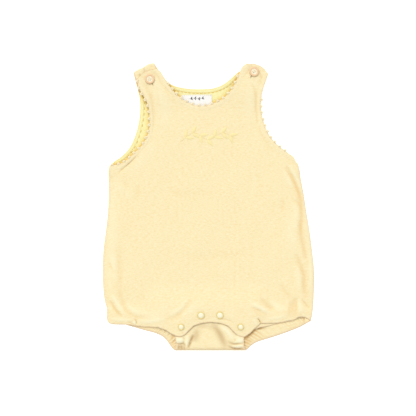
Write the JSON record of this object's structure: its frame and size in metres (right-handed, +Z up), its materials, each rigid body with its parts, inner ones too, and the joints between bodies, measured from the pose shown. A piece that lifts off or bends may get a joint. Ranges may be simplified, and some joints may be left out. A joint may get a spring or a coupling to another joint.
{
  "type": "baby romper",
  "caption": "Sleeveless bubble romper laid flat: buttoned shoulder tabs, scalloped snap crotch flap, gathered leg casings, picot-edged neck and armholes.",
  "frame": {"origin": "centre of the laid garment's bounding box in plan, on the table it lies on", "axes": "+X to the viewer's right, +Y towards the neck, +Z up from the table"},
  "size_m": [0.2709, 0.3683, 0.01],
  "materials": {
    "towelling_outside": "pale cream-yellow cotton towelling jersey, soft short nap",
    "jersey_inside": "the same jersey's brighter lemon inner side",
    "picot_thread": "pinkish-white cotton picot trim",
    "label_satin": "white woven satin, blank",
    "button_shell": "glossy beige shell look",
    "snap_cap": "cream enamel cap with a golden rim"
  },
  "bodies": {
    "root": {"front_panel": "towelling_outside", "back_panel": "jersey_inside", "front_neck_binding": "towelling_outside", "back_neck_binding": "jersey_inside", "front_armhole_binding_left": "towelling_outside", "front_armhole_binding_right": "towelling_outside", "back_armhole_binding_left": "jersey_inside", "back_armhole_binding_right": "jersey_inside", "front_leg_casing_left": "towelling_outside", "front_leg_casing_right": "towelling_outside", "back_leg_casing_left": "towelling_outside", "back_leg_casing_right": "towelling_outside", "picots_neck": "picot_thread", "picots_armhole_left": "picot_thread", "picots_armhole_right": "picot_thread", "label": "label_satin", "button_left": "button_shell", "button_right": "button_shell", "snap_outer_left": "snap_cap", "snap_inner_left": "snap_cap", "snap_inner_right": "snap_cap", "snap_outer_right": "snap_cap"}
  },
  "joints": []
}
